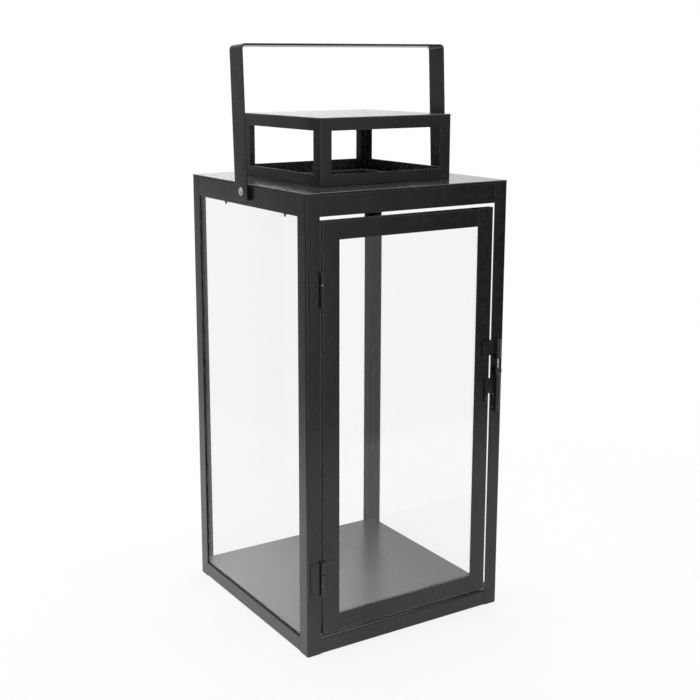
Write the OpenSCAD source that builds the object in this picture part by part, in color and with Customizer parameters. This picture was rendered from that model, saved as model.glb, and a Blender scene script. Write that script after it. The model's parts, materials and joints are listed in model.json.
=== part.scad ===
// Tall four-sided candle lantern in folded sheet steel, with a glazed door,
// an open vent box on the roof and a swinging strap handle.
// Origin: centre of the footprint, on the ground. +Z up, the door faces -Y.

/* [Body frame] */
// Width of the body across the door side
body_w = 240; // [200:1:300]
// Depth of the body, door side to back
body_d = 240; // [200:1:300]
// Height from the ground to the top of the roof plate
body_h = 462.5; // [400:0.5:600]
// Thickness of the folded sheet that the frame is made of
sheet_t = 1.2; // [0.8:0.1:1.5]
// Outside radius of the folds
bend_r = 1.7; // [1.6:0.1:3]
// Width of each leg of a corner post
post_leg = 15.5; // [14:0.5:20]
// Height of the rails under the roof
top_rail_h = 22.5; // [21:0.5:30]
// Height of the rails round the base
bottom_rail_h = 16.8; // [12:0.1:30]
// Width of the flanges that the rails turn inwards
rail_flange = 12; // [8:0.5:13.5]
// Width of the hem turned in under the base rails
bottom_hem = 8; // [5:0.5:12]
// Thickness of the base plate
base_t = 1; // [0.8:0.1:2]
// Thickness of the roof plate and of the vent box's cap
roof_t = 1.2; // [0.8:0.1:2]

/* [Side and back glass] */
// Thickness of the glass panes
glass_t = 2; // [1.5:0.1:2.5]
// Clearance left round each pane
glass_play = 0.3; // [0.2:0.05:0.6]
// How far a pane reaches up behind its top rail
glass_cover = 7; // [4:0.5:8]
// Width of the bent tabs that hold the panes
tab_w = 8; // [4:0.5:9]
// Thickness of the bent tabs
tab_t = 1; // [0.8:0.1:1.2]
// How far a tab's point hangs below the top rail
tab_drop = 3.8; // [2:0.2:6]
// Length of a tab's foot under the rail's flange
tab_foot = 6; // [4:0.5:7]
// Distance of a side pane's front tab from the body's middle
side_tab_front = 76; // [50:1:85]
// Distance of a side pane's rear tab from the body's middle
side_tab_rear = 47; // [30:1:85]
// Distance of the back pane's tabs from the body's middle
back_tab_out = 62; // [30:1:85]

/* [Vent box] */
// Width and depth of the vent box on the roof
vent_w = 157; // [100:0.5:180]
// Height of the vent box above the roof
vent_h = 66.4; // [45:0.2:90]
// Width of each leg of a vent post
vent_leg = 13; // [8:0.5:18]
// Height of the vent box's rails
vent_rail_h = 11.5; // [8:0.5:18]
// Width of the roof's lip inside the vent box
vent_lip = 6; // [3:0.5:12]

/* [Handle] */
// Width of the handle's strap
strap_w = 25; // [16:0.5:36]
// Thickness of the handle's strap
strap_t = 2; // [1.5:0.1:3]
// Space between the body's side and the strap
strap_gap = 2; // [1.5:0.1:5]
// Distance from the pivots to the top of the grip
handle_reach = 145; // [125:0.5:200]
// Length of strap below the pivots
strap_tail = 9; // [7:0.5:14]
// Outside radius of the strap's two upper bends
strap_bend_r = 5; // [3.5:0.5:12]
// Radius of the strap's lower corners
strap_corner_r = 2.5; // [1:0.5:5]
// Depth of the pivots below the roof's top face
pivot_drop = 8.2; // [6.5:0.1:11]
// How far the handle leans back where it stands, in degrees
handle_lean = 3; // [0:0.5:8]
// Radius of the rivets that the handle turns on
rivet_r = 2.5; // [2:0.1:3]
// Radius of the rivets' heads
rivet_head_r = 4.4; // [3.5:0.1:5.5]
// Height of the rivets' domed heads
rivet_head_h = 1.8; // [1:0.1:2.5]
// Height of the rivets' flat tails inside the rails
rivet_tail_h = 1; // [0.6:0.1:1.5]
// Width of the tails' rim round the shanks
rivet_tail_rim = 1.2; // [0.8:0.1:2]
// Radial clearance between rivet and strap
handle_fit = 0.05; // [0.02:0.01:0.1]
// Side play of the strap between washer and rivet head
handle_play = 0.1; // [0.05:0.05:0.3]
// Radius of the washers between strap and body
washer_r = 6; // [5:0.5:8]

/* [Door] */
// Gap between the door and the post on the hinge side
door_gap_hinge = 2.3; // [1.8:0.1:3]
// Gap between the door and the post on the latch side
door_gap_latch = 1.5; // [1:0.1:5]
// Gap between the door and the rail above it
door_gap_top = 4.2; // [1.5:0.1:5]
// Gap between the door and the base plate
door_gap_bottom = 2.4; // [1:0.1:5]
// Width of the door's stiles
stile_w = 19.5; // [17:0.5:26]
// Height of the door's top rail
door_top_rail_h = 18.6; // [14:0.2:30]
// Height of the door's bottom rail
door_bottom_rail_h = 18.6; // [14:0.2:30]
// Depth of the lip folded back round the door's edge
door_return = 8; // [5:0.5:12]
// How far the door's pane reaches behind its frame
door_glass_cover = 7; // [4:0.5:8]
// Number of clips on each side of the door's pane
door_clips = 3; // [2:1:5]
// Height of each clip
clip_h = 10; // [6:0.5:14]
// Width of the clip's foot on the stile
clip_foot = 4; // [3:0.5:6]
// How far the clip's finger reaches over the pane
clip_finger = 4.5; // [3:0.5:6]
// Distance of the end clips' middles from the ends of the door's window
clip_margin = 22; // [10:1:60]

/* [Hinges] */
// Height of each hinge
hinge_h = 35.5; // [24:0.5:50]
// Distance of the upper hinge's middle below the door's top
upper_hinge_drop = 65.6; // [40:0.2:110]
// Distance of the lower hinge's middle above the door's bottom
lower_hinge_rise = 60.3; // [40:0.1:110]
// Outside radius of the hinge barrels
barrel_r = 2.1; // [1.9:0.05:2.2]
// Radius of the hinge pins
hinge_pin_r = 1.2; // [0.9:0.05:1.3]
// Radial clearance of the pins in the barrels
hinge_fit = 0.05; // [0.02:0.01:0.1]
// Gap between the hinges' knuckles
knuckle_play = 0.3; // [0.2:0.05:0.6]
// Width of a hinge leaf beside its barrel
leaf_w = 10.5; // [7:0.5:11.5]
// Thickness of the hinge leaves
leaf_t = 0.8; // [0.8:0.1:1.2]
// Gap between the long edge of a leaf and the barrel's other knuckles
leaf_clear = 0.4; // [0.3:0.05:0.6]
// Radius of the hinge pins' heads
pin_head_r = 1.8; // [1.4:0.1:1.9]
// Height of the hinge pins' heads
pin_head_h = 0.8; // [0.4:0.1:1.2]
// Distance of the hinges' axis in front of the body
hinge_out = 2.2; // [2.1:0.05:2.6]

/* [Latch] */
// Height of the latch knob above the door's middle, with the bolt down
latch_rise = 35.3; // [-60:0.1:60]
// Distance of the bolt from the body's side
bolt_inset = 8.6; // [6.8:0.1:8.7]
// Distance of the bolt's axis in front of the body
bolt_out = 3.1; // [3.1:0.05:3.6]
// Radius of the bolt
bolt_r = 1.2; // [0.9:0.05:1.3]
// Radial clearance of the bolt in its guide
bolt_fit = 0.06; // [0.02:0.01:0.1]
// Radial clearance of the bolt in its keeper
keeper_fit = 0.3; // [0.06:0.02:0.4]
// How far the bolt slides up
bolt_travel = 9; // [5:0.5:14]
// Radius of the bolt's knob
knob_r = 3.8; // [3:0.1:4.5]
// Thickness of the knob's rim
knob_rim_t = 1; // [0.6:0.1:1.5]
// Height of the knob's domed front
knob_dome_h = 1.2; // [0.6:0.1:1.5]
// Wall of the knob's block round the bolt
knob_wall = 0.9; // [0.7:0.1:1.2]
// Outside radius of the keeper's rolled eye
keeper_r = 2.7; // [2.3:0.1:2.8]
// Height of the keeper's rolled eye
keeper_eye_h = 20.5; // [16:0.5:30]
// Height of the straps that cross from the door to the post
latch_strap_h = 16.4; // [8:0.2:20]
// Thickness of those straps
latch_strap_t = 1.2; // [0.8:0.1:1.4]
// How far the keeper's strap reaches onto the door
keeper_foot = 10.8; // [7:0.2:12]
// How far the door stop reaches onto the door
stop_foot = 6.9; // [5:0.1:9]
// Height of the door stop's lower tail, which its rivet holds
stop_tail_h = 9; // [6:0.5:14]
// Width of that tail, which ends short of the gap
stop_tail_w = 4.4; // [3.6:0.1:5]
// Drop of the door stop's upper edge below the top of the bolt's guide
stop_drop = 2.8; // [1:0.1:8]
// Outside radius of the bolt's guide
guide_r = 2.6; // [2.2:0.1:2.8]
// Height of the bolt's guide
guide_h = 40; // [32:1:60]
// Width of the guide's plate
guide_plate_w = 10; // [10:0.2:12]
// Thickness of the guide's plate
guide_plate_t = 0.8; // [0.6:0.1:1]
// Height of the guide's lower rivet above the guide's lower end
guide_rivet_low = 5; // [3:0.5:10]
// Distance between the guide's two rivets
guide_rivet_step = 14; // [8:0.5:18]
// Gap that keeps the latch's parts off what they pass
latch_play = 0.4; // [0.3:0.05:0.8]
// Radius of the small rivets' heads
small_head_r = 1.1; // [0.9:0.05:1.3]
// Height of the small rivets' heads
small_head_h = 0.7; // [0.4:0.1:1]
// Radius of the small rivets
small_rivet_r = 0.7; // [0.5:0.05:0.85]
// Margin between a small rivet's head and the edge of its plate
small_head_margin = 0.3; // [0.1:0.05:0.6]

/* [Hidden] */
$fn = 48;
half_w = body_w / 2;
half_d = body_d / 2;
post_h = body_h - roof_t;               // posts stop under the roof plate
base_top = bottom_rail_h + base_t;
window_top = body_h - top_rail_h;       // lower edge of the top rails
glass_face = sheet_t + glass_t;         // from an outer face to a pane's inner face
pane_top = window_top + glass_cover;
flange_z = post_h - sheet_t;            // underside of the top rails' flanges
front_half = half_w - post_leg;         // half of the front opening
vent_half = vent_w / 2;
vent_top = body_h + vent_h;
cap_t = roof_t;
hole_w = vent_w - 2 * vent_lip;
pivot_z = body_h - pivot_drop;
strap_in = half_w + strap_gap;          // inner face of the strap
door_l = -front_half + door_gap_hinge;
door_r = front_half - door_gap_latch;
door_bottom = base_top + door_gap_bottom;
door_top = window_top - door_gap_top;
door_h = door_top - door_bottom;
door_window_w = door_r - door_l - 2 * stile_w;
door_window_x = (door_l + door_r) / 2;
door_window_bottom = door_bottom + door_bottom_rail_h;
door_window_top = door_top - door_top_rail_h;
hinge_x = -front_half + door_gap_hinge / 2;
hinge_y = -half_d - hinge_out;
upper_hinge_z = door_top - upper_hinge_drop;
lower_hinge_z = door_bottom + lower_hinge_rise;
knuckle_h = hinge_h / 3;
bolt_x = half_w - bolt_inset;
bolt_y = -half_d - bolt_out;
latch_z = (door_bottom + door_top) / 2 + latch_rise;
guide_top = latch_z - knob_r - latch_play;
guide_bottom = guide_top - guide_h;
keeper_bottom = latch_z + knob_r + bolt_travel + 2 * latch_play;
bolt_tip = keeper_bottom - latch_play;
bolt_end = guide_bottom + latch_play;
stop_bottom = guide_top - stop_drop - latch_strap_h;
stop_rivet_x = door_r - stop_foot + stop_tail_w / 2;
stop_rivet_z = stop_bottom - stop_tail_h / 2;
guide_rivet_x = bolt_x - guide_plate_w / 2 + small_head_r + small_head_margin;
guide_rivet_zs = [for (k = [0, 1]) guide_bottom + guide_rivet_low + k * guide_rivet_step];
knob_skin = 0.1;                        // metal between the bolt and the knob's rim
through = 1;                            // how far a cut runs past a face, or a joint overlaps

paint = "#2b2b2b";
paint_inside = "#333333";
clear_glass = "#dfe9e6";
bare_steel = "#b9b9b4";

// ---- shared shapes ----

// A folded strip's section: leg a along +X, leg b along +Y, outer corner at the origin.
module fold_section(a, b) {
    translate([bend_r, 0]) square([a - bend_r, sheet_t]);
    translate([0, bend_r]) square([sheet_t, b - bend_r]);
    intersection() {
        square(bend_r);
        translate([bend_r, bend_r]) difference() {
            circle(bend_r);
            circle(bend_r - sheet_t);
        }
    }
}

// A post at one corner of a frame of half sizes hx and hy; sx and sy pick the corner.
module corner_post(hx, hy, sx, sy, leg, h) {
    mirror([sx > 0 ? 1 : 0, 0, 0]) mirror([0, sy > 0 ? 1 : 0, 0])
        translate([-hx, -hy, 0]) linear_extrude(h) fold_section(leg, leg);
}

// Turns a shape drawn against the front face (x along it, y inwards) to one of the
// four sides, numbered 0 front, 1 right, 2 back, 3 left; h is the face's distance.
module on_side(side, h) {
    rotate([0, 0, 90 * side]) translate([0, -h, 0]) children();
}
function body_half(side) = side % 2 == 0 ? half_d : half_w;
function body_span(side) = side % 2 == 0 ? body_w : body_d;

// Draws a section (x inwards, y up) as a bar of length l along the face.
module along(l) {
    translate([-l / 2, 0, 0]) rotate([90, 0, 90]) linear_extrude(l) children();
}

// The section of a sheet of width w and thickness t whose two upper edges are rounded.
module sheet_section(w, t) {
    translate([t - w / 2, -t]) square([w - 2 * t, t]);
    for (s = [-1, 1]) intersection() {
        translate([s * (w / 2 - t), -t]) circle(t);
        translate([s * (w / 2 - t / 2) - t / 2, -t]) square(t);
    }
}

// A flat sheet whose four upper edges are rounded; its top face is at z = 0.
module rounded_sheet(w, d, t) {
    intersection() {
        rotate([90, 0, 0]) linear_extrude(d, center = true) sheet_section(w, t);
        rotate([90, 0, 90]) linear_extrude(w, center = true) sheet_section(d, t);
    }
}

// A low domed head: its flat face is at z = 0 and it rises along +Z.
module dome(r, h) {
    ball_r = (r * r + h * h) / (2 * h);
    rotate_extrude() intersection() {
        square([r, h]);
        translate([0, h - ball_r]) circle(ball_r, $fn = 96);
    }
}

// ---- body frame ----

module post(sx, sy) {
    color(paint) difference() {
        corner_post(half_w, half_d, sx, sy, post_leg, post_h);
        if (sx > 0 && sy < 0) guide_rivet_holes();
    }
}

module top_rail(side) {
    h = top_rail_h - roof_t;
    color(paint) difference() {
        on_side(side, body_half(side)) translate([0, 0, post_h]) along(body_span(side) - 2 * post_leg)
            mirror([0, 1]) fold_section(rail_flange + sheet_t, h);
        if (side % 2 == 1) translate([0, 0, pivot_z]) rotate([0, 90, 0])
            cylinder(r = rivet_r, h = body_w + 2 * through, center = true);
    }
}

module bottom_rail(side) {
    color(paint) on_side(side, body_half(side)) along(body_span(side) - 2 * post_leg) {
        translate([0, bottom_rail_h]) mirror([0, 1])
            fold_section(rail_flange + sheet_t, bottom_rail_h / 2);
        fold_section(bottom_hem + sheet_t, bottom_rail_h - bend_r);
    }
}

module base_plate() {
    side_edge = half_w - glass_face - glass_play;
    back_edge = half_d - glass_face - glass_play;
    color(paint_inside) translate([0, 0, bottom_rail_h]) {
        translate([-side_edge, -half_d + sheet_t, 0])
            cube([2 * side_edge, half_d - sheet_t + back_edge, base_t]);
        translate([-front_half, -half_d, 0])
            cube([2 * front_half, 2 * sheet_t, base_t]);
    }
}

module roof_plate() {
    color(paint) difference() {
        translate([0, 0, body_h]) rounded_sheet(body_w, body_d, roof_t);
        translate([-hole_w / 2, -hole_w / 2, post_h - through])
            cube([hole_w, hole_w, roof_t + 2 * through]);
    }
}

// ---- side and back glass ----

// A pane inside one face; short is how far each end stops before the body's outline.
module pane(side, short) {
    w = body_span(side) - 2 * short;
    color(clear_glass, 0.35) on_side(side, body_half(side))
        translate([-w / 2, sheet_t, bottom_rail_h]) cube([w, glass_t, pane_top - bottom_rail_h]);
}

// One tab: a pointed strip behind the pane, with a foot under the rail's flange.
module glass_tab() {
    tab_y = glass_face + glass_play;
    point_z = window_top - tab_drop;
    shoulder_z = window_top + tab_w / 8;
    translate([0, tab_y + tab_t, 0]) rotate([90, 0, 0]) linear_extrude(tab_t)
        polygon([[0, point_z], [tab_w / 2, shoulder_z], [tab_w / 2, flange_z],
                 [-tab_w / 2, flange_z], [-tab_w / 2, shoulder_z]]);
    translate([-tab_w / 2, tab_y, flange_z - tab_t]) cube([tab_w, tab_foot, tab_t]);
}

module glass_tabs(side, places) {
    color(paint) on_side(side, body_half(side))
        for (x = places) translate([x, 0, 0]) glass_tab();
}

// ---- vent box ----

module vent_post(sx, sy) {
    color(paint) translate([0, 0, body_h])
        corner_post(vent_half, vent_half, sx, sy, vent_leg, vent_h - cap_t);
}

module vent_rail(side, z) {
    l = vent_w - 2 * vent_leg;
    color(paint) on_side(side, vent_half) translate([-l / 2, 0, z])
        cube([l, sheet_t, vent_rail_h]);
}

module vent_cap() {
    color(paint) translate([0, 0, vent_top]) rounded_sheet(vent_w, vent_w, cap_t);
}

// ---- handle ----

module handle_bail() {
    outer = strap_in + strap_t;
    leg_top = handle_reach - strap_bend_r;
    color(paint) translate([0, 0, pivot_z]) rotate([-handle_lean, 0, 0]) {
        for (s = [-1, 1]) mirror([s > 0 ? 1 : 0, 0, 0]) {
            // leg, with its rivet hole and rounded lower corners
            translate([-outer, 0, 0]) rotate([90, 0, 90]) linear_extrude(strap_t) difference() {
                union() {
                    translate([-strap_w / 2, strap_corner_r - strap_tail])
                        square([strap_w, leg_top + strap_tail - strap_corner_r]);
                    translate([strap_corner_r - strap_w / 2, -strap_tail])
                        square([strap_w - 2 * strap_corner_r, 2 * strap_corner_r]);
                    for (q = [-1, 1])
                        translate([q * (strap_w / 2 - strap_corner_r), strap_corner_r - strap_tail])
                            circle(strap_corner_r);
                }
                circle(rivet_r + handle_fit);
            }
            // upper bend
            translate([strap_bend_r - outer, strap_w / 2, leg_top]) rotate([90, 0, 0])
                linear_extrude(strap_w) intersection() {
                    difference() {
                        circle(strap_bend_r);
                        circle(strap_bend_r - strap_t);
                    }
                    translate([-strap_bend_r, 0]) square(strap_bend_r);
                }
        }
        // grip
        translate([strap_bend_r - outer, -strap_w / 2, handle_reach - strap_t])
            cube([2 * (outer - strap_bend_r), strap_w, strap_t]);
    }
}

// Rivets: a domed head outside the strap, a shank, and a flat tail inside the rail.
module handle_rivets() {
    head_x = strap_in + strap_t + handle_play;
    rail_in = half_w - sheet_t;
    color(bare_steel) for (s = [-1, 1]) mirror([s > 0 ? 1 : 0, 0, 0]) translate([0, 0, pivot_z])
        rotate([0, -90, 0]) {
            translate([0, 0, head_x]) dome(rivet_head_r, rivet_head_h);
            translate([0, 0, rail_in]) cylinder(r = rivet_r, h = head_x - rail_in);
            translate([0, 0, rail_in - rivet_tail_h])
                cylinder(r = rivet_r + rivet_tail_rim, h = rivet_tail_h);
        }
}

module handle_washers() {
    color(bare_steel) for (s = [-1, 1]) mirror([s > 0 ? 1 : 0, 0, 0])
        translate([-half_w, 0, pivot_z]) rotate([0, -90, 0]) difference() {
            cylinder(r = washer_r, h = strap_gap - handle_play);
            translate([0, 0, -through]) cylinder(r = rivet_r, h = strap_gap + 2 * through);
        }
}

// ---- hinges ----

// One third of a barrel; k is 0 for the lowest knuckle, 1 the middle, 2 the top.
module knuckle(z, k, side) {
    trim = knuckle_play / 2;
    low = z - hinge_h / 2 + k * knuckle_h + (k == 0 ? 0 : trim);
    high = z - hinge_h / 2 + (k + 1) * knuckle_h - (k == 2 ? 0 : trim);
    reach = barrel_r + leaf_clear;
    translate([hinge_x, hinge_y, low]) cylinder(r = barrel_r, h = high - low);
    translate([side < 0 ? hinge_x - reach : hinge_x, -half_d - leaf_t, low])
        cube([reach, leaf_t, high - low]);
}

// A leaf lies on the face beside the barrel: side -1 is the post's, 1 is the door's.
module leaf(z, side, knuckles) {
    reach = barrel_r + leaf_clear;
    color(paint) difference() {
        union() {
            translate([side < 0 ? hinge_x - reach - leaf_w : hinge_x + reach,
                       -half_d - leaf_t, z - hinge_h / 2]) cube([leaf_w, leaf_t, hinge_h]);
            for (k = knuckles) knuckle(z, k, side);
        }
        translate([hinge_x, hinge_y, z - hinge_h / 2 - through])
            cylinder(r = hinge_pin_r + hinge_fit, h = hinge_h + 2 * through);
    }
}

module hinge_pins() {
    color(bare_steel) for (z = [lower_hinge_z, upper_hinge_z])
        translate([hinge_x, hinge_y, z - hinge_h / 2]) {
            cylinder(r = hinge_pin_r, h = hinge_h);
            translate([0, 0, hinge_h]) dome(pin_head_r, pin_head_h);
            mirror([0, 0, 1]) dome(pin_head_r, pin_head_h);
        }
}

// ---- door ----

// A stile's face and its lip; the lip is on the door's outer edge at x.
module stile(x, s) {
    color(paint) translate([x, -half_d, door_bottom]) mirror([s > 0 ? 1 : 0, 0, 0])
        linear_extrude(door_h) fold_section(stile_w, door_return);
}

module door_latch_stile() {
    difference() {
        stile(door_r, 1);
        stop_rivet_place() translate([0, 0, -through - sheet_t])
            cylinder(r = small_rivet_r, h = 3 * sheet_t + through);
    }
}

// A door rail, drawn with its folded edge at z = 0 and its face above it. The lip runs on
// behind both stiles.
module door_rail(h) {
    along(door_window_w) fold_section(door_return, h);
    for (s = [-1, 1]) mirror([s < 0 ? 1 : 0, 0, 0])
        translate([door_window_w / 2 - through, bend_r, 0])
            cube([stile_w - sheet_t + through, door_return - bend_r, sheet_t]);
}

module door_top_rail() {
    color(paint) translate([door_window_x, -half_d, door_top]) mirror([0, 0, 1])
        door_rail(door_top_rail_h);
}

module door_bottom_rail() {
    color(paint) translate([door_window_x, -half_d, door_bottom]) door_rail(door_bottom_rail_h);
}

module door_glass() {
    w = door_window_w + 2 * door_glass_cover;
    h = door_window_top - door_window_bottom + 2 * door_glass_cover;
    color(clear_glass, 0.35)
        translate([door_window_x - w / 2, -half_d + sheet_t, door_window_bottom - door_glass_cover])
            cube([w, glass_t, h]);
}

// Clips: a foot on the stile beside the pane and a finger over the pane's edge.
module door_glass_clips() {
    pane_half = door_window_w / 2 + door_glass_cover;
    first = door_window_bottom + clip_margin;
    last = door_window_top - clip_margin;
    color(paint) for (s = [-1, 1]) for (i = [0 : door_clips - 1])
        translate([door_window_x, -half_d + sheet_t,
                   first + i * (last - first) / (door_clips - 1) - clip_h / 2])
            mirror([s < 0 ? 1 : 0, 0, 0]) {
                translate([pane_half + glass_play, 0, 0])
                    cube([clip_foot, glass_t + glass_play, clip_h]);
                translate([pane_half - clip_finger, glass_t + glass_play, 0])
                    cube([clip_foot + clip_finger + glass_play, tab_t, clip_h]);
            }
}

// ---- latch ----

// Places a shape at the stop's rivet: z runs out of the door's face.
module stop_rivet_place() {
    translate([stop_rivet_x, -half_d, stop_rivet_z]) rotate([90, 0, 0]) children();
}

// A strap on the door that crosses the gap, held clear of the post's face.
module crossing_strap(foot, reach_x, z) {
    translate([door_r - foot, -half_d - latch_play - latch_strap_t, z])
        cube([reach_x - door_r + foot, latch_strap_t, latch_strap_h]);
    translate([door_r - foot, -half_d - latch_play, z])
        cube([foot, latch_play, latch_strap_h]);
}

module latch_keeper() {
    color(paint) difference() {
        union() {
            crossing_strap(keeper_foot, bolt_x, keeper_bottom + keeper_eye_h - latch_strap_h);
            translate([bolt_x, bolt_y, keeper_bottom]) cylinder(r = keeper_r, h = keeper_eye_h);
        }
        translate([bolt_x, bolt_y, keeper_bottom - through])
            cylinder(r = bolt_r + keeper_fit, h = keeper_eye_h + 2 * through);
    }
}

module door_stop() {
    end_x = bolt_x - guide_plate_w / 2 - latch_play;
    color(paint) difference() {
        union() {
            crossing_strap(stop_foot, end_x, stop_bottom);
            translate([door_r - stop_foot, -half_d - latch_play - latch_strap_t,
                       stop_bottom - stop_tail_h])
                cube([stop_tail_w, latch_play + latch_strap_t, stop_tail_h]);
        }
        stop_rivet_place() translate([0, 0, -through])
            cylinder(r = small_rivet_r, h = latch_play + latch_strap_t + 2 * through);
    }
}

module door_stop_rivet() {
    stack = latch_play + latch_strap_t;
    color(bare_steel) stop_rivet_place() {
        translate([0, 0, stack]) dome(small_head_r, small_head_h);
        translate([0, 0, -sheet_t]) cylinder(r = small_rivet_r, h = stack + sheet_t);
        translate([0, 0, -sheet_t - small_head_h]) cylinder(r = small_head_r, h = small_head_h);
    }
}

module bolt_guide() {
    color(paint) difference() {
        union() {
            translate([bolt_x - guide_plate_w / 2, -half_d - guide_plate_t, guide_bottom])
                cube([guide_plate_w, guide_plate_t, guide_h]);
            translate([bolt_x, bolt_y, guide_bottom]) cylinder(r = guide_r, h = guide_h);
        }
        translate([bolt_x, bolt_y, guide_bottom - through])
            cylinder(r = bolt_r + bolt_fit, h = guide_h + 2 * through);
        guide_rivet_holes();
    }
}

module guide_rivet_holes() {
    for (z = guide_rivet_zs) translate([guide_rivet_x, -half_d, z]) rotate([90, 0, 0])
        cylinder(r = small_rivet_r, h = 4 * sheet_t, center = true);
}

module bolt_guide_rivets() {
    color(bare_steel) for (z = guide_rivet_zs)
        translate([guide_rivet_x, -half_d, z]) rotate([90, 0, 0]) {
            translate([0, 0, guide_plate_t]) dome(small_head_r, small_head_h);
            translate([0, 0, -sheet_t]) cylinder(r = small_rivet_r, h = guide_plate_t + sheet_t);
            translate([0, 0, -sheet_t - small_head_h])
                cylinder(r = small_head_r, h = small_head_h);
        }
}

module latch_bolt() {
    color(bare_steel) translate([bolt_x, bolt_y, bolt_end])
        cylinder(r = bolt_r, h = bolt_tip - bolt_end);
}

// The knob: a block round the bolt and a domed button that stands forward of it.
module latch_knob() {
    block = bolt_r + knob_wall;
    block_h = knob_r - knob_wall / 2;   // the block stops short of the button's rim
    button_y = bolt_r + knob_skin;
    color(paint) translate([bolt_x, bolt_y, latch_z]) difference() {
        union() {
            translate([-block, -button_y, -block_h]) cube([2 * block, button_y + block, 2 * block_h]);
            rotate([90, 0, 0]) translate([0, 0, button_y]) {
                cylinder(r = knob_r, h = knob_rim_t);
                translate([0, 0, knob_rim_t]) dome(knob_r, knob_dome_h);
            }
        }
        translate([0, 0, -knob_r]) cylinder(r = bolt_r, h = 2 * knob_r);
    }
}

post(-1, -1);  // front_left_post
post(1, -1);  // front_right_post
post(-1, 1);  // back_left_post
post(1, 1);  // back_right_post
top_rail(0);  // front_top_rail
top_rail(1);  // right_top_rail
top_rail(2);  // back_top_rail
top_rail(3);  // left_top_rail
bottom_rail(0);  // front_bottom_rail
bottom_rail(1);  // right_bottom_rail
bottom_rail(2);  // back_bottom_rail
bottom_rail(3);  // left_bottom_rail
base_plate();
roof_plate();
pane(3, bend_r + glass_play);  // left_glass
pane(1, bend_r + glass_play);  // right_glass
pane(2, glass_face + glass_play);  // back_glass
glass_tabs(3, [side_tab_front, -side_tab_rear]);  // left_glass_tabs
glass_tabs(1, [-side_tab_front, side_tab_rear]);  // right_glass_tabs
glass_tabs(2, [-back_tab_out, back_tab_out]);  // back_glass_tabs
vent_post(-1, -1);  // vent_front_left_post
vent_post(1, -1);  // vent_front_right_post
vent_post(-1, 1);  // vent_back_left_post
vent_post(1, 1);  // vent_back_right_post
vent_rail(0, vent_top - cap_t - vent_rail_h);  // vent_front_top_rail
vent_rail(1, vent_top - cap_t - vent_rail_h);  // vent_right_top_rail
vent_rail(2, vent_top - cap_t - vent_rail_h);  // vent_back_top_rail
vent_rail(3, vent_top - cap_t - vent_rail_h);  // vent_left_top_rail
vent_rail(0, body_h);  // vent_front_bottom_rail
vent_rail(1, body_h);  // vent_right_bottom_rail
vent_rail(2, body_h);  // vent_back_bottom_rail
vent_rail(3, body_h);  // vent_left_bottom_rail
vent_cap();
handle_rivets();
handle_washers();
handle_bail();
leaf(upper_hinge_z, -1, [0, 2]);  // upper_hinge_post_leaf
leaf(lower_hinge_z, -1, [0, 2]);  // lower_hinge_post_leaf
leaf(upper_hinge_z, 1, [1]);  // upper_hinge_door_leaf
leaf(lower_hinge_z, 1, [1]);  // lower_hinge_door_leaf
hinge_pins();
bolt_guide();
bolt_guide_rivets();
latch_bolt();
latch_knob();
stile(door_l, -1);  // door_hinge_stile
door_latch_stile();
door_top_rail();
door_bottom_rail();
door_glass();
door_glass_clips();
latch_keeper();
door_stop();
door_stop_rivet();
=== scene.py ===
# %% [markdown]
# # A black candle lantern
# The lantern is a cage of folded sheet steel, painted black, with three fixed panes, a glazed
# door, a vent box on the roof and a strap handle. Its parts come in as a fixed frame, already in
# place and at real size, so this file gives them their finish, rebuilds the few parts whose
# rolled or pressed form the frame only sketches, and sets up the studio.

# %% Load the frame
import json
import math

import bmesh
import bpy
from mathutils import Matrix, Vector


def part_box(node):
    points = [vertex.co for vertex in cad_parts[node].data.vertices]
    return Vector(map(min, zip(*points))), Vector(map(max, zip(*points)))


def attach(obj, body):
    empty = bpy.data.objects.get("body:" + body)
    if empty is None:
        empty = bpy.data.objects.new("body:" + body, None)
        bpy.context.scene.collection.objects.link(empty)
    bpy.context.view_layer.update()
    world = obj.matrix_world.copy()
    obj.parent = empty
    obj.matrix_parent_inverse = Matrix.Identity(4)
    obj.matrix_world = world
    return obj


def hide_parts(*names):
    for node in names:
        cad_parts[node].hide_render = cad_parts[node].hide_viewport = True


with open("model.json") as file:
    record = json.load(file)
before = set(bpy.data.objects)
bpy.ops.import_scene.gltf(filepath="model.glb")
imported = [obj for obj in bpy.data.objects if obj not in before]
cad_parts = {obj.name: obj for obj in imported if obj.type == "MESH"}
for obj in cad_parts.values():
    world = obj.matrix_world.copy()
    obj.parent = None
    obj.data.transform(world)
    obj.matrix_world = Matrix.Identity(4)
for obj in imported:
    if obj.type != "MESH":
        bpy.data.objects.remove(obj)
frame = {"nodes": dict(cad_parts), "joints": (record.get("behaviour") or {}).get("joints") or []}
parts = frame["nodes"]
joints = {joint["name"]: joint for joint in frame["joints"]}
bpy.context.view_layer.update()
MM = 0.001

# %% [markdown]
# ## The camera
# The photograph was taken from the front left and a little above. Its straight edges were enough
# to work out where the camera stood and how it was turned, so the lens, the place and the angles
# below are real values. The lens's axis doesn't meet the middle of the photograph, which the
# shift makes up for.

# %% Place the camera
CAMERA_PLACE = (-0.6695, -1.0423, 0.5791)
CAMERA_YAW = 31.0
CAMERA_PITCH = 11.29
CAMERA_ROLL = -0.25
CAMERA_LENS = 60.31
CAMERA_NEAR = 0.01
FRAME_PIXELS = 700
AXIS_PIXEL = (310.3, 298.4)

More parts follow.
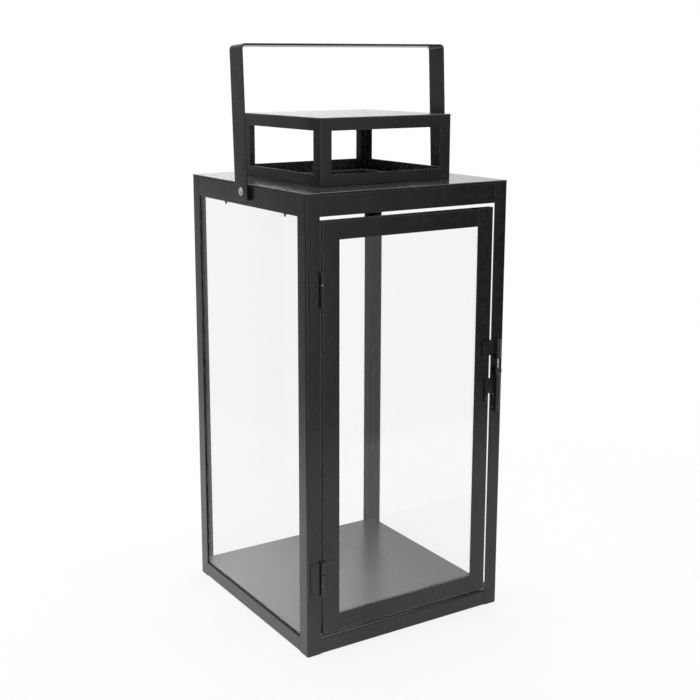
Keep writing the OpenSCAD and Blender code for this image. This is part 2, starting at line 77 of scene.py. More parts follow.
camera = bpy.data.objects.new("camera", bpy.data.cameras.new("camera"))
camera.data.lens = CAMERA_LENS
camera.data.shift_x = 0.5 - AXIS_PIXEL[0] / FRAME_PIXELS
camera.data.shift_y = AXIS_PIXEL[1] / FRAME_PIXELS - 0.5
camera.data.clip_start = CAMERA_NEAR
camera.location = CAMERA_PLACE
turned = Matrix.Rotation(math.radians(-CAMERA_YAW), 3, "Z")
tipped = Matrix.Rotation(math.radians(90 - CAMERA_PITCH), 3, "X")
rolled_over = Matrix.Rotation(math.radians(CAMERA_ROLL), 3, "Z")
camera.rotation_euler = (turned @ tipped @ rolled_over).to_euler()
bpy.context.scene.collection.objects.link(camera)
bpy.context.scene.camera = camera
bpy.context.scene.view_settings.view_transform = "Standard"
print(f"camera {math.dist(CAMERA_PLACE, (0, 0, 0)):.2f} m away")

# %% [markdown]
# ## Building a finish from nodes
# A material here is a small net of nodes. The helpers keep the nets short: one adds any node and
# sets its values, seven add a kind that is used often, and two start a material or a node group,
# which is a net that several materials share.


# %% Helpers for node nets
def add_node(tree, kind, settings=None, **inputs):
    """settings are the node's properties; inputs are its sockets by name, or by number as _0."""
    node = tree.nodes.new(kind)
    for name, value in (settings or {}).items():
        setattr(node, name, value)
    for name, value in inputs.items():
        socket = node.inputs[int(name[1:])] if name[0] == "_" else node.inputs[name]
        if isinstance(value, bpy.types.NodeSocket):
            tree.links.new(value, socket)
        else:
            socket.default_value = value
    return node


def arithmetic(tree, operation, a, b=0.0, clamp=False):
    settings = {"operation": operation, "use_clamp": clamp}
    return add_node(tree, "ShaderNodeMath", settings, _0=a, _1=b).outputs[0]


def ramp(tree, value, low, high, to_low=0.0, to_high=1.0):
    """Goes smoothly from to_low, where the value is low, to to_high, where it is high."""
    settings = {"interpolation_type": "SMOOTHSTEP"}
    return add_node(
        tree, "ShaderNodeMapRange", settings, _0=value, _1=low, _2=high, _3=to_low, _4=to_high
    ).outputs[0]


def mix_values(tree, share, a, b):
    settings = {"data_type": "FLOAT"}
    return add_node(tree, "ShaderNodeMix", settings, _0=share, _2=a, _3=b).outputs[0]


def mix_colours(tree, share, a, b):
    settings = {"data_type": "RGBA"}
    return add_node(tree, "ShaderNodeMix", settings, _0=share, _6=a, _7=b).outputs[2]


# %% Helpers for places and noise
def part_coordinates(tree):
    return add_node(tree, "ShaderNodeTexCoord").outputs["Object"]


def split_axes(tree, vector):
    return add_node(tree, "ShaderNodeSeparateXYZ", None, _0=vector).outputs


def noise(tree, coordinates, scale, detail=2.0, roughness=0.5):
    return add_node(
        tree, "ShaderNodeTexNoise", None,
        Vector=coordinates, Scale=scale, Detail=detail, Roughness=roughness,
    ).outputs[0]


# %% Helpers that start a material or a group
def start_material(name):
    material = bpy.data.materials.new(name)
    material.use_nodes = True
    shader = material.node_tree.nodes["Principled BSDF"]
    return material, material.node_tree, shader


def start_group(name, inputs, outputs):
    tree = bpy.data.node_groups.new(name, "ShaderNodeTree")
    for label, value in inputs.items():
        socket = tree.interface.new_socket(label, in_out="INPUT", socket_type="NodeSocketFloat")
        socket.default_value = value
    for label in outputs:
        tree.interface.new_socket(label, in_out="OUTPUT", socket_type="NodeSocketFloat")
    taken = tree.nodes.new("NodeGroupInput").outputs
    given = tree.nodes.new("NodeGroupOutput").inputs
    print(f"group {name}: {', '.join(inputs)} in, {', '.join(outputs)} out")
    return tree, taken, given


# %% [markdown]
# ### The film of enamel
# Sprayed enamel is never quite flat. It has a fine orange peel, about a millimetre across, its
# thickness drifts over a few centimetres, and its gloss changes every few millimetres. A noise
# texture on the part's own coordinates gives each of them at its own size.

# %% Group: enamel film
PEELS_PER_METRE = 700.0
DRIFTS_PER_METRE = 30.0
GLOSS_CHANGES_PER_METRE = 140.0

film_group, taken, given = start_group(
    "enamel_film", {"Peel scale": PEELS_PER_METRE, "Drift scale": DRIFTS_PER_METRE},
    ["Height", "Tone", "Gloss"],
)
place = part_coordinates(film_group)
film_group.links.new(noise(film_group, place, taken["Peel scale"]), given["Height"])
film_group.links.new(noise(film_group, place, taken["Drift scale"], 4.0, 0.6), given["Tone"])
film_group.links.new(noise(film_group, place, GLOSS_CHANGES_PER_METRE, 3.0), given["Gloss"])

# %% [markdown]
# ### Worn edges, partly a painted highlight
# Paint is thinnest on an edge, and handling rubs it through there first. The Bevel node returns
# the normal that a rounded edge would have: where it differs from the true normal, an edge is
# near. Noise breaks that line into the short chips that a used lantern shows, and the pale primer
# there is partly a painted highlight, standing in for the light that rounded edges catch.

# %% Group: worn edges and their painted highlight
WEAR_REACH = 1.4 * MM
CHIPS_PER_METRE = 210.0
ALIKE_ON_A_FACE, ALIKE_AT_AN_EDGE = 0.995, 0.9
CHIPS_START, CHIPS_FULL = 0.95, 0.75

edge_wear_and_light_group, taken, given = start_group("edge_wear_and_light", {"Reach": WEAR_REACH, "Share": 0.4}, ["Mask"])
rounded = add_node(edge_wear_and_light_group, "ShaderNodeBevel", {"samples": 6}, Radius=taken["Reach"]).outputs[0]
true_normal = add_node(edge_wear_and_light_group, "ShaderNodeNewGeometry").outputs["Normal"]
likeness = add_node(
    edge_wear_and_light_group, "ShaderNodeVectorMath", {"operation": "DOT_PRODUCT"}, _0=rounded, _1=true_normal
).outputs["Value"]
near_edge = ramp(edge_wear_and_light_group, likeness, ALIKE_ON_A_FACE, ALIKE_AT_AN_EDGE)
chips = noise(edge_wear_and_light_group, part_coordinates(edge_wear_and_light_group), CHIPS_PER_METRE, 5.0, 0.7)
chips_start = arithmetic(edge_wear_and_light_group, "SUBTRACT", CHIPS_START, taken["Share"])
chipped_and_lit = ramp(edge_wear_and_light_group, chips, chips_start, CHIPS_FULL)
edge_wear_and_light_group.links.new(arithmetic(edge_wear_and_light_group, "MULTIPLY", near_edge, chipped_and_lit), given["Mask"])

# %% [markdown]
# ### Settled dust
# Fine dust lies on what faces upwards, such as the roof, the cap and the floor inside. The mask
# is the upward share of the normal, thinned by noise.

# %% Group: settled dust
SPECKS_PER_METRE = 900.0
PATCHES_PER_METRE = 22.0
FACING_UP = (0.6, 0.98)
SPECKS = (0.52, 0.72)
PATCHES = (0.35, 0.7)

dust_group, taken, given = start_group("settled_dust", {"Amount": 0.3}, ["Mask"])
place = part_coordinates(dust_group)
normal = add_node(dust_group, "ShaderNodeNewGeometry").outputs["Normal"]
facing_up = ramp(dust_group, split_axes(dust_group, normal)["Z"], *FACING_UP)
specks = ramp(dust_group, noise(dust_group, place, SPECKS_PER_METRE, 6.0, 0.75), *SPECKS)
patches = ramp(dust_group, noise(dust_group, place, PATCHES_PER_METRE, 3.0), *PATCHES)
specks_in_patches = arithmetic(dust_group, "MULTIPLY", specks, patches)
lying = arithmetic(dust_group, "MULTIPLY", specks_in_patches, facing_up)
dust_group.links.new(arithmetic(dust_group, "MULTIPLY", lying, taken["Amount"]), given["Mask"])

# %% [markdown]
# ### Inside the cage
# The spray gun reaches most inner faces only at a slant, so the paint lies there thin and dry and
# shines less. The mask is 1 for whatever lies inside the four outer faces and under the roof, and
# each enamel says below how rough it is there.

# %% Group: inside the cage
CAGE_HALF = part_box("front_right_post")[1].x
CAGE_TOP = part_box("front_right_post")[1].z
SHEET_THICKNESS = 1.2 * MM
FACE_MARGIN = 0.1 * MM

inside_group, taken, given = start_group("inside_the_cage", {"Wall": SHEET_THICKNESS}, ["Mask"])
place = split_axes(inside_group, part_coordinates(inside_group))
sideways = arithmetic(inside_group, "ABSOLUTE", place["X"])
lengthways = arithmetic(inside_group, "ABSOLUTE", place["Y"])
widest = arithmetic(inside_group, "MAXIMUM", sideways, lengthways)
inner_face = arithmetic(inside_group, "SUBTRACT", CAGE_HALF + FACE_MARGIN, taken["Wall"])
walled_in = arithmetic(inside_group, "LESS_THAN", widest, inner_face)
roofed = arithmetic(inside_group, "LESS_THAN", place["Z"], CAGE_TOP)
inside_group.links.new(arithmetic(inside_group, "MULTIPLY", walled_in, roofed), given["Mask"])

# %% [markdown]
# ### Black enamel
# The sheet metal is sprayed semi-gloss black. Nearly all that the eye sees of it is the white
# studio mirrored in its clear top, so the colour itself is almost black and the roughness
# decides how the reflections spread. Grey primer shows where an edge is chipped, and these pale
# edges are partly a painted highlight, standing in for the light that rounded edges catch. The
# roof and the cap are the glossiest, the plate that the candle stands on is painted paler
# towards the left as painted light for a brighter reflection there, the bolt's knob is satin,
# and the right back post, seen through two panes, is painted a little paler than the rest as
# painted light for how bright it looks there. One function makes them all, so that only their
# values differ.

# %% Materials: enamel
PRIMER_AND_EDGE_LIGHT = (0.11, 0.11, 0.108, 1)
DUST = (0.30, 0.29, 0.27, 1)
PAINTED_LEFT_GREY = (0.5, 0.5, 0.495, 1)
PAINT_THIN, PAINT_THICK = 1.5, 0.7
DUST_ROUGHNESS = 0.4
PEEL_DEPTH = 0.01 * MM
WIDE_SPREAD = (0.3, 0.7)
NARROW_SPREAD = (0.35, 0.65)


def enamel(name, colour, gloss, chips=0.35, dust=0.25, inside_roughness=0.5, painted_left_light=0.0):
    """Black paint.

    gloss is its lowest and highest roughness, chips and dust are the amounts of each (the chips'
    pale edges are partly a painted highlight), inside_roughness is the least that it has inside
    the cage, and the last argument how far the colour is painted paler towards the cage's left
    side: painted light, standing in for a brighter reflection there.
    """
    material, tree, shader = start_material(name)
    film = add_node(tree, "ShaderNodeGroup", {"node_tree": film_group})
    edge_wear_and_light_node = add_node(tree, "ShaderNodeGroup", {"node_tree": edge_wear_and_light_group}, Share=chips)
    dusty = add_node(tree, "ShaderNodeGroup", {"node_tree": dust_group}, Amount=dust)
    inside = add_node(tree, "ShaderNodeGroup", {"node_tree": inside_group})
    thin = tuple(PAINT_THIN * c for c in colour) + (1,)
    thick = tuple(PAINT_THICK * c for c in colour) + (1,)
    painted = mix_colours(tree, ramp(tree, film.outputs["Tone"], *WIDE_SPREAD), thick, thin)
    # Grey primer on the edges: real chips, and partly a painted highlight along the edges.
    chipped_and_lit = mix_colours(tree, edge_wear_and_light_node.outputs["Mask"], painted, PRIMER_AND_EDGE_LIGHT)
    dusted = mix_colours(tree, dusty.outputs["Mask"], chipped_and_lit, DUST)
    # Painted light: the colour turns paler towards the cage's left side, standing in for a brighter
    # reflection there.
    if painted_left_light:
        across = split_axes(tree, part_coordinates(tree))["X"]
        painted_left_share = ramp(tree, across, CAGE_HALF, -CAGE_HALF, 0.0, painted_left_light)
        dusted = mix_colours(tree, painted_left_share, dusted, PAINTED_LEFT_GREY)
    tree.links.new(dusted, shader.inputs["Base Color"])
    sheen = ramp(tree, film.outputs["Gloss"], *NARROW_SPREAD, *gloss)
    rougher = arithmetic(tree, "MULTIPLY", dusty.outputs["Mask"], DUST_ROUGHNESS)
    dulled = arithmetic(tree, "ADD", sheen, rougher, True)
    dry = arithmetic(tree, "MULTIPLY", inside.outputs["Mask"], inside_roughness)
    tree.links.new(arithmetic(tree, "MAXIMUM", dulled, dry), shader.inputs["Roughness"])
    bump = add_node(
        tree, "ShaderNodeBump", None, Strength=1.0, Distance=PEEL_DEPTH, Height=film.outputs["Height"]
    )
    tree.links.new(bump.outputs[0], shader.inputs["Normal"])
    print(f"material {name}: roughness {gloss[0]} to {gloss[1]}")
    return material


# The black sheet gets more chips than the default, partly as a painted highlight along its folded corners.
black_enamel = enamel("black_enamel", (0.0080, 0.0080, 0.0083), (0.22, 0.28), chips=0.5)
roof_enamel = enamel("roof_enamel", (0.043, 0.042, 0.041), (0.13, 0.19), dust=0.18)
# The candle floor is painted paler towards the left: painted light for its brighter reflection there.
floor_enamel = enamel(
    "floor_enamel", (0.015, 0.015, 0.0152), (0.24, 0.27),
    dust=0.05, chips=0.2, inside_roughness=0.0, painted_left_light=0.34,
)
satin_enamel = enamel("satin_enamel", (0.012, 0.012, 0.0122), (0.34, 0.44), chips=0.6)
# The back right post's paint is paler than the rest: painted light, standing in for how bright the post
# looks through two panes.
back_post_lit_enamel = enamel("back_post_lit_enamel", (0.034, 0.034, 0.0342), (0.22, 0.28), inside_roughness=0.35)

# %% [markdown]
# ### Bare steel
# The handle's rivets and washers and the bolt are zinc-plated steel, and the small rivets of the
# guide and the stop have gone dull. Rolling leaves fine lines along the bolt's wire, so its bump
# noise is stretched along one axis by a Mapping node.

# %% Materials: steel
BLOTCHES_PER_METRE = 350.0
BLOTCH_TONE = 0.6
LINE_STRENGTH = 0.6
LINE_DEPTH = 0.02 * MM
EVEN_GRAIN = (900, 900, 900)
DRAWN_GRAIN = (4000, 4000, 150)


def steel(name, colour, gloss, grain):
    """Plated steel. gloss is its lowest and highest roughness, grain its lines per metre."""
    material, tree, shader = start_material(name)
    mapping = add_node(tree, "ShaderNodeMapping", None, Vector=part_coordinates(tree), Scale=grain)
    lines = noise(tree, mapping.outputs[0], 1.0, 3.0)
    blotches = noise(tree, part_coordinates(tree), BLOTCHES_PER_METRE, 3.0)
    dark = tuple(BLOTCH_TONE * c for c in colour) + (1,)
    toned = mix_colours(tree, ramp(tree, blotches, *WIDE_SPREAD), dark, tuple(colour) + (1,))
    tree.links.new(toned, shader.inputs["Base Color"])
    sheen = ramp(tree, blotches, *WIDE_SPREAD, gloss[1], gloss[0])
    tree.links.new(sheen, shader.inputs["Roughness"])
    bump = add_node(
        tree, "ShaderNodeBump", None, Strength=LINE_STRENGTH, Distance=LINE_DEPTH, Height=lines
    )
    tree.links.new(bump.outputs[0], shader.inputs["Normal"])
    shader.inputs["Metallic"].default_value = 1.0
    print(f"material {name}: roughness {gloss[0]} to {gloss[1]}")
    return material


rivet_steel = steel("rivet_steel", (0.80, 0.80, 0.78), (0.45, 0.60), EVEN_GRAIN)
wire_steel = steel("wire_steel", (0.58, 0.58, 0.57), (0.25, 0.40), DRAWN_GRAIN)
dull_steel = steel("dull_steel", (0.13, 0.13, 0.125), (0.35, 0.50), EVEN_GRAIN)

# %% [markdown]
# ### Hinge pins
# The pins are painted with the rest, but they glint where two knuckles rub them bare: between the
# upper two of the upper hinge and the lower two of the lower hinge. Both places lie equally far
# from the middle of the door.

# %% Material: a painted pin, rubbed bare at one joint
PIN_MIDDLE = joints["door_hinge"]["pos_m"][2]
BARE_FROM, BARE_TO = 146 * MM, 156 * MM
PIN_PAINT = (0.012, 0.012, 0.0122, 1)
PIN_STEEL = (0.8, 0.8, 0.78, 1)
PIN_ROUGHNESS = (0.4, 0.5)

worn_pin, tree, shader = start_material("worn_pin")
upright = split_axes(tree, part_coordinates(tree))["Z"]
from_middle = arithmetic(tree, "ABSOLUTE", arithmetic(tree, "SUBTRACT", upright, PIN_MIDDLE))
past_start = ramp(tree, from_middle, BARE_FROM, BARE_FROM + MM)
before_end = ramp(tree, from_middle, BARE_TO, BARE_TO - MM)
bare = arithmetic(tree, "MULTIPLY", past_start, before_end)
tree.links.new(mix_colours(tree, bare, PIN_PAINT, PIN_STEEL), shader.inputs["Base Color"])
tree.links.new(bare, shader.inputs["Metallic"])
tree.links.new(ramp(tree, bare, 0.0, 1.0, *PIN_ROUGHNESS), shader.inputs["Roughness"])
print(f"material worn_pin: bare from {BARE_FROM / MM:.0f} to {BARE_TO / MM:.0f} mm off the middle")

# %% [markdown]
# ### Window glass
# A pane is a real slab with two faces, so the shader's own transmission bends and tints the light.
# The fixed panes of the photograph mirror next to nothing, so they bend light less than real glass
# does, and the door's pane has the value of real glass. Lamps don't shine through such glass in
# this renderer, so a Light Path node lets their shadow rays pass straight on, which lights the
# candle floor as in the real lantern.

# %% Materials: glass
THIN_BENDING = 1.2
GLASS_BENDING = 1.5


def window_glass(name, colour, bending):
    material, tree, shader = start_material(name)
    shader.inputs["Base Color"].default_value = tuple(colour) + (1,)
    shader.inputs["Roughness"].default_value = 0.0
    shader.inputs["IOR"].default_value = bending
    shader.inputs["Transmission Weight"].default_value = 1.0
    in_shadow = add_node(tree, "ShaderNodeLightPath").outputs["Is Shadow Ray"]
    clear = add_node(tree, "ShaderNodeBsdfTransparent", None, Color=tuple(colour) + (1,)).outputs[0]
    mixed = add_node(
        tree, "ShaderNodeMixShader", None, _0=in_shadow, _1=shader.outputs[0], _2=clear
    )
    tree.links.new(mixed.outputs[0], tree.nodes["Material Output"].inputs["Surface"])
    print(f"material {name}: bends light by {bending}")
    return material


pane_glass = window_glass("pane_glass", (0.95, 0.96, 0.955), THIN_BENDING)
door_pane_glass = window_glass("door_pane_glass", (0.985, 0.99, 0.99), GLASS_BENDING)

# %% [markdown]
# ## Dressing the frame's own parts
# Folded sheet has no razor edges: shearing rounds them, and paint rounds them more. The frame's
# meshes are loose triangles, so a Weld modifier joins them first, a Bevel modifier then rounds
# every edge sharper than a fold's own facets, and weighted normals keep the faces flat.

# %% Give every part its finish and soft edges
SMALL_PARTS = {
    "handle_rivets": rivet_steel,
    "handle_washers": rivet_steel,
    "bolt_guide_rivets": dull_steel,
    "door_stop_rivet": dull_steel,
    "latch_bolt": wire_steel,
    "latch_knob": satin_enamel,
    "hinge_pins": worn_pin,
}
LARGE_PARTS = {
    "left_glass": pane_glass,
    "right_glass": pane_glass,
    "back_glass": pane_glass,
    "door_glass": door_pane_glass,
    "base_plate": floor_enamel,
    "roof_plate": roof_enamel,
    "vent_cap": roof_enamel,
    "back_right_post": back_post_lit_enamel,
}
OWN_FINISH = {**SMALL_PARTS, **LARGE_PARTS}
SHEET_EDGE = 0.35 * MM
SMALL_EDGE = 0.15 * MM
EDGE_SEGMENTS = 2
SHARP_FROM = 35
FLATNESS = 80
NEARLY = 0.001 * MM


def join_faces(piece):
    joined = piece.modifiers.new("joined_faces", "WELD")
    joined.merge_threshold = NEARLY


def soften_edges(piece, width):
    rounded = piece.modifiers.new("soft_edges", "BEVEL")
    rounded.width = width
    rounded.segments = EDGE_SEGMENTS
    rounded.limit_method = "ANGLE"
    rounded.angle_limit = math.radians(SHARP_FROM)
    rounded.use_clamp_overlap = False
    shaded = piece.modifiers.new("even_shading", "WEIGHTED_NORMAL")
    shaded.weight = FLATNESS


for name, part in parts.items():
    part.data.materials[0] = OWN_FINISH.get(name, black_enamel)
    join_faces(part)
    soften_edges(part, SMALL_EDGE if name in SMALL_PARTS else SHEET_EDGE)
print(f"dressed {len(parts)} parts, {len(OWN_FINISH)} of them with a finish of their own")

# %% [markdown]
# ## Rolled hinge leaves
# A real hinge leaf is a flat blank with tongues, and each tongue is rolled into a knuckle round
# the pin. It is built the same way here: a column of points is drawn out into the flat leaf, the
# rows that are tongues are spun round the pin's axis, and Solidify gives the sheet its thickness.


# %% Helpers for rolled sheet
def blank(levels, x, y):
    """A column of points at the given heights, joined by edges: the start of a sheet."""
    bm = bmesh.new()
    points = [bm.verts.new((x, y, z)) for z in levels]
    edges = [bm.edges.new(pair) for pair in zip(points, points[1:])]
    return bm, edges


def drawn_out(bm, edges, x, y):
    """Extends the sheet from these edges by a straight strip and returns its far edges."""
    made = bmesh.ops.extrude_edge_only(bm, edges=edges)["geom"]
    points = [item for item in made if isinstance(item, bmesh.types.BMVert)]
    bmesh.ops.translate(bm, verts=points, vec=(x, y, 0))
    return [item for item in made if isinstance(item, bmesh.types.BMEdge)
            and all(point in points for point in item.verts)]


def rolled(bm, edges, x, y, degrees, steps):
    """Rolls the sheet on from these edges round an upright axis at x, y.

    The points are listed once each and in order, so that every run makes the same mesh.
    """
    points = list(dict.fromkeys(point for edge in edges for point in edge.verts))
    made = bmesh.ops.spin(
        bm, geom=points + list(edges), cent=(x, y, 0), axis=(0, 0, 1),
        angle=math.radians(degrees), steps=steps, use_merge=False, use_duplicate=False,
    )
    return [item for item in made["geom_last"] if isinstance(item, bmesh.types.BMEdge)]


def finish_piece(name, bm, body, replaced, thickness, edge):
    """Turns the bmesh into painted sheet that rides on a body and stands for the named part."""
    bmesh.ops.recalc_face_normals(bm, faces=bm.faces)
    for face in bm.faces:
        face.smooth = True
    mesh = bpy.data.meshes.new(name)
    bm.to_mesh(mesh)
    bm.free()
    mesh.materials.append(black_enamel)
    piece = bpy.data.objects.new(name, mesh)
    bpy.context.scene.collection.objects.link(piece)
    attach(piece, body)
    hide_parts(replaced)
    walls = piece.modifiers.new("sheet", "SOLIDIFY")
    walls.thickness = thickness
    walls.offset = 0
    walls.use_even_offset = True
    soften_edges(piece, edge)
    print(f"{name}: {thickness / MM:.1f} mm sheet on the {body}")


# %% Roll the hinge leaves
PIN_X, PIN_Y = joints["door_hinge"]["pos_m"][:2]
FACE_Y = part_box("front_left_post")[0].y
LEAF_THICKNESS = 0.6 * MM
LEAF_EDGE = 0.1 * MM
LEAF_GAP = 0.02 * MM
LEAF_Y = FACE_Y - LEAF_THICKNESS / 2 - LEAF_GAP
LEAF_CLEAR = 2.6 * MM
KNUCKLE_GAP = 0.9 * MM
KNUCKLES = 3
ROLL_DEGREES = 308
ROLL_STEPS = 28


def hinge_leaf(node, body, side, tongues):
    """side is 1 for the leaf on the door; tongues are the knuckles it owns, counted from below."""
    low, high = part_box(node)
    knuckle = (high.z - low.z) / KNUCKLES
    levels = [low.z]
    for k in range(1, KNUCKLES):
        levels += [low.z + k * knuckle - KNUCKLE_GAP / 2, low.z + k * knuckle + KNUCKLE_GAP / 2]
    levels.append(high.z)
    leaf_end = high.x if side > 0 else low.x
    bm, edges = blank(levels, leaf_end, LEAF_Y)
    edges = drawn_out(bm, edges, PIN_X + side * LEAF_CLEAR - leaf_end, 0)
    bands = [(levels[2 * k], levels[2 * k + 1]) for k in tongues]
    tongue_edges = []
    for edge in edges:
        bottom, top = sorted(point.co.z for point in edge.verts)
        if any(start - NEARLY < bottom and top < end + NEARLY for start, end in bands):
            tongue_edges.append(edge)
    tongue_edges = drawn_out(bm, tongue_edges, -side * LEAF_CLEAR, 0)
    rolled(bm, tongue_edges, PIN_X, PIN_Y, side * ROLL_DEGREES, ROLL_STEPS)
    finish_piece(node + "_rolled", bm, body, node, LEAF_THICKNESS, LEAF_EDGE)


for height in ("upper", "lower"):
    hinge_leaf(f"{height}_hinge_post_leaf", "frame", -1, (0, 2))
    hinge_leaf(f"{height}_hinge_door_leaf", "door", 1, (1,))

# %% [markdown]
# ## The keeper and the bolt's guide
# The keeper is a strap whose end is rolled into an eye, which the bolt's tip enters. The guide is
# a plate pressed over the bolt, so its section is a flat, a hollow, a half round, a hollow and a
# flat again. Both start as a column of points, like the hinge leaves.

# %% Roll the keeper
BOLT_X, BOLT_Y = (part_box("latch_bolt")[0].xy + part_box("latch_bolt")[1].xy) / 2
KEEPER_THICKNESS = 1.2 * MM
KEEPER_EDGE = 0.15 * MM
KEEPER_STRAP_HEIGHT = 16.4 * MM
EYE_DEGREES = -325
EYE_STEPS = 30

low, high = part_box("latch_keeper")
eye_radius = (high.x - BOLT_X) - KEEPER_THICKNESS / 2
strap_bottom = high.z - KEEPER_STRAP_HEIGHT
bm, edges = blank([low.z, strap_bottom, high.z], BOLT_X, BOLT_Y + eye_radius)
strap_edge = [edge for edge in edges if max(point.co.z for point in edge.verts) > high.z - NEARLY]
rolled(bm, edges, BOLT_X, BOLT_Y, EYE_DEGREES, EYE_STEPS)
drawn_out(bm, strap_edge, low.x - BOLT_X, 0)
finish_piece("latch_keeper_rolled", bm, "door", "latch_keeper", KEEPER_THICKNESS, KEEPER_EDGE)

# %% Press the guide
GUIDE_THICKNESS = 0.8 * MM
GUIDE_EDGE = 0.12 * MM
HOLLOW_RADIUS = 0.5 * MM
HOLLOW_STEPS = 6
HALF_ROUND_STEPS = 16

low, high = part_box("bolt_guide")
guide_radius = BOLT_Y - low.y - GUIDE_THICKNESS / 2
flange_y = FACE_Y - GUIDE_THICKNESS / 2
hollow_y = flange_y - HOLLOW_RADIUS
hollow_x = guide_radius + HOLLOW_RADIUS
flange_width = (high.x - low.x) / 2 - hollow_x
bm, edges = blank([low.z, high.z], low.x, flange_y)
edges = drawn_out(bm, edges, flange_width, 0)
edges = rolled(bm, edges, BOLT_X - hollow_x, hollow_y, -90, HOLLOW_STEPS)
edges = drawn_out(bm, edges, 0, BOLT_Y - hollow_y)
edges = rolled(bm, edges, BOLT_X, BOLT_Y, 180, HALF_ROUND_STEPS)
edges = drawn_out(bm, edges, 0, hollow_y - BOLT_Y)
edges = rolled(bm, edges, BOLT_X + hollow_x, hollow_y, -90, HOLLOW_STEPS)
drawn_out(bm, edges, flange_width, 0)
bmesh.ops.remove_doubles(bm, verts=bm.verts, dist=0.01 * MM)
finish_piece("bolt_guide_pressed", bm, "frame", "bolt_guide", GUIDE_THICKNESS, GUIDE_EDGE)

# %% [markdown]
# ## The studio
# The lantern stands on a white sheet in a bright room. The camera, and whatever looks through
# glass, sees floor and room as plain white, with the lantern's soft shadow close by. The paint
# mirrors something else. The sheet is brightest on the lantern's left and ends a good half metre
# to the left and in front. Most of the floor that the paint mirrors beyond it is darker, and the
# higher a point on the lantern, the further out it looks, so every face darkens upwards.

# %% Floor
FLOOR_SIZE = 12.0
FLOOR_GAP = 0.3 * MM

floor_mesh = bmesh.new()
bmesh.ops.create_grid(floor_mesh, x_segments=4, y_segments=4, size=FLOOR_SIZE / 2)
bmesh.ops.translate(floor_mesh, verts=floor_mesh.verts, vec=(0, 0, -FLOOR_GAP))
floor = bpy.data.objects.new("floor", bpy.data.meshes.new("floor"))
floor_mesh.to_mesh(floor.data)
floor_mesh.free()
bpy.context.scene.collection.objects.link(floor)
print(f"floor {FLOOR_SIZE} m wide")

# %% [markdown]
# ### What the paint mirrors of the floor
# Each row of four numbers is a ramp: between the first two, which are places in metres, a glow
# or its factor goes from the third number to the fourth. A glow of 1 is white. In front and at
# the left the ramps run along slanted lines, so that part of the floor there stays bright.

# %% Material: the mirrored floor
SHEET_LEFT, SHEET_FRONT = -0.56, -0.66
SHEET_FADE = 0.03
BESIDE_LANTERN = (-0.15, -0.02, 1.13, 0.78)
TO_SHEET_LEFT = (-0.6, -0.28, 0.34, 1.0)
FRONT_FLOOR = (-0.05, 0.55, 0.8, 0.06)
FRONT_SLANT = 0.675
LEFT_FLOOR = (-1.0, -0.5, 0.04, 0.85)
LEFT_SLANT, LEFT_SLANT_FROM = 0.532, 1.0
FAR_LEFT_FLOOR = (-2.0, -1.75, 0.35, 1.0)
FRONT_TO_LEFT = (-0.7, -0.3)

paper = bpy.data.materials.new("paper")
paper.use_nodes = True
tree = paper.node_tree
tree.nodes.remove(tree.nodes["Principled BSDF"])
place = split_axes(tree, part_coordinates(tree))
x, y = place["X"], place["Y"]
right_of_left = ramp(tree, x, SHEET_LEFT - SHEET_FADE, SHEET_LEFT + SHEET_FADE)
behind_front = ramp(tree, y, SHEET_FRONT - SHEET_FADE, SHEET_FRONT + SHEET_FADE)
on_sheet = arithmetic(tree, "MULTIPLY", right_of_left, behind_front)
beside_lantern = ramp(tree, x, *BESIDE_LANTERN)
sheet_glow = arithmetic(tree, "MULTIPLY", beside_lantern, ramp(tree, x, *TO_SHEET_LEFT))
past_front = arithmetic(tree, "ADD", y, -SHEET_FRONT)
front_line = arithmetic(tree, "ADD", x, arithmetic(tree, "MULTIPLY", past_front, FRONT_SLANT))
in_front = ramp(tree, front_line, *FRONT_FLOOR)
from_behind = arithmetic(tree, "ADD", y, -LEFT_SLANT_FROM)
left_line = arithmetic(tree, "ADD", x, arithmetic(tree, "MULTIPLY", from_behind, LEFT_SLANT))
left_glow = ramp(tree, left_line, *LEFT_FLOOR)
at_left = arithmetic(tree, "MULTIPLY", left_glow, ramp(tree, x, *FAR_LEFT_FLOOR))
room_glow = mix_values(tree, ramp(tree, y, *FRONT_TO_LEFT), in_front, at_left)
off_sheet = arithmetic(tree, "SUBTRACT", 1.0, on_sheet)
mirrored = arithmetic(
    tree, "ADD",
    arithmetic(tree, "MULTIPLY", on_sheet, sheet_glow), arithmetic(tree, "MULTIPLY", off_sheet, room_glow),
)
print("the sheet and the floor around it, as the paint mirrors them")

# %% [markdown]
# ### What the camera sees of the floor
# The floor glows white to the camera and to whatever looks through glass. Near the lantern it
# glows a little less and reflects some of the lamps' light instead, so that its shadow shows.
# For scattered light it is an ordinary white floor, and where the paint mirrors it, it reflects
# little and has the glow above.

# %% Material: the floor
SHADOW_FULL, SHADOW_END = 0.4, 1.0
LESS_GLOW = 0.165
SHADOW_WHITE = (0.16, 0.16, 0.16, 1)
NO_WHITE = (0, 0, 0, 1)
ROOM_WHITE = (0.9, 0.9, 0.9, 1)
SHEET_MIRRORED = (0.18, 0.18, 0.18, 1)
FLOOR_MIRRORED = (0.03, 0.03, 0.03, 1)

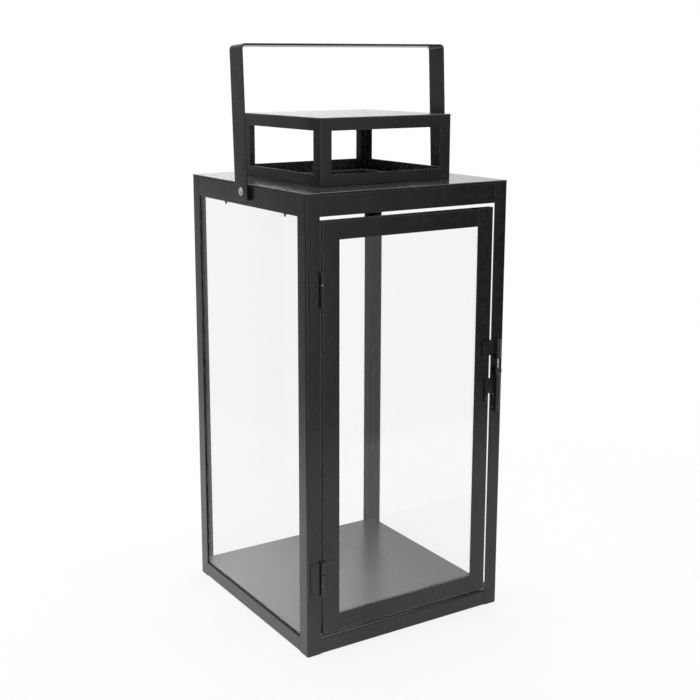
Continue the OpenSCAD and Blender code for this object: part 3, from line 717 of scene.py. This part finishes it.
path = add_node(tree, "ShaderNodeLightPath").outputs
seen = arithmetic(tree, "MAXIMUM", path["Is Camera Ray"], path["Is Transmission Ray"])
in_paint = arithmetic(tree, "SUBTRACT", path["Is Glossy Ray"], seen, True)
from_lantern = add_node(
    tree, "ShaderNodeVectorMath", {"operation": "LENGTH"}, _0=part_coordinates(tree)
).outputs["Value"]
close_by = ramp(tree, from_lantern, SHADOW_END, SHADOW_FULL)
white = arithmetic(tree, "SUBTRACT", 1.0, arithmetic(tree, "MULTIPLY", close_by, LESS_GLOW))
glow = arithmetic(
    tree, "ADD",
    arithmetic(tree, "MULTIPLY", seen, white), arithmetic(tree, "MULTIPLY", in_paint, mirrored),
)
mirrored_colour = mix_colours(tree, on_sheet, FLOOR_MIRRORED, SHEET_MIRRORED)
lit_colour = mix_colours(tree, path["Is Glossy Ray"], ROOM_WHITE, mirrored_colour)
seen_colour = mix_colours(tree, close_by, NO_WHITE, SHADOW_WHITE)
lit = add_node(tree, "ShaderNodeBsdfDiffuse", None, Color=lit_colour).outputs[0]
shaded = add_node(tree, "ShaderNodeBsdfDiffuse", None, Color=seen_colour).outputs[0]
reflecting = add_node(tree, "ShaderNodeMixShader", None, _0=seen, _1=lit, _2=shaded).outputs[0]
glowing = add_node(tree, "ShaderNodeEmission", None, Color=(1, 1, 1, 1), Strength=glow).outputs[0]
both = add_node(tree, "ShaderNodeAddShader", None, _0=reflecting, _1=glowing).outputs[0]
tree.links.new(both, tree.nodes["Material Output"].inputs["Surface"])
floor.data.materials.append(paper)
print(f"shadow fades out from {SHADOW_FULL} to {SHADOW_END} m")

# %% [markdown]
# ### The sky
# The sky is white to the camera and even for scattered light. The paint mirrors three walls in
# it: a bright one at the back right, one in front that darkens to the right, and a dim one at
# the left. Their ramps go by how far a direction points to the right, X, or to the back, Y.

# %% Sky
SKY_LIGHT = 0.45
BEHIND = (0.6, 1.2)
BACK_WALL = (0.40, 0.68, 1.38, 0.95)
FRONT_WALL = (0.48, 0.68, 0.9, 0.25)
LEFT_WALL = 0.45
FRONT_TO_SIDE = (-0.3, 0.3)

world = bpy.data.worlds.new("room")
world.use_nodes = True
tree = world.node_tree
towards = split_axes(tree, add_node(tree, "ShaderNodeTexCoord").outputs["Generated"])
behind = ramp(tree, arithmetic(tree, "ADD", towards["X"], towards["Y"]), *BEHIND)
back_wall = ramp(tree, towards["X"], *BACK_WALL)
front_wall = ramp(tree, towards["X"], *FRONT_WALL)
other_walls = ramp(tree, towards["Y"], *FRONT_TO_SIDE, front_wall, LEFT_WALL)
mirrored = mix_values(tree, behind, other_walls, back_wall)
path = add_node(tree, "ShaderNodeLightPath").outputs
seen = arithmetic(tree, "MAXIMUM", path["Is Camera Ray"], path["Is Transmission Ray"])
unseen = mix_values(tree, path["Is Glossy Ray"], SKY_LIGHT, mirrored)
strength = mix_values(tree, seen, unseen, 1.0)
tree.links.new(strength, tree.nodes["Background"].inputs["Strength"])
tree.nodes["Background"].inputs["Color"].default_value = (1, 1, 1, 1)
bpy.context.scene.world = world
print("the room is white to the camera and darker in the paint's reflections")

# %% [markdown]
# ### The lamps
# Two large soft lamps light the lantern, one from above and one from the left.


# %% Lamps
def soft_lamp(name, place, aim, size, watts):
    lamp = bpy.data.objects.new(name, bpy.data.lights.new(name, "AREA"))
    lamp.data.size = size
    lamp.data.energy = watts
    lamp.location = place
    lamp.rotation_euler = (Vector(aim) - Vector(place)).to_track_quat("-Z", "Y").to_euler()
    bpy.context.scene.collection.objects.link(lamp)
    print(f"lamp {name}: {watts} W, {size} m")


soft_lamp("top_lamp", (0.2, 0.3, 2.2), (0, 0, 0.2), 1.6, 28)
soft_lamp("left_lamp", (-2.3, 0.2, 2.1), (0, 0, 0.25), 1.4, 15)
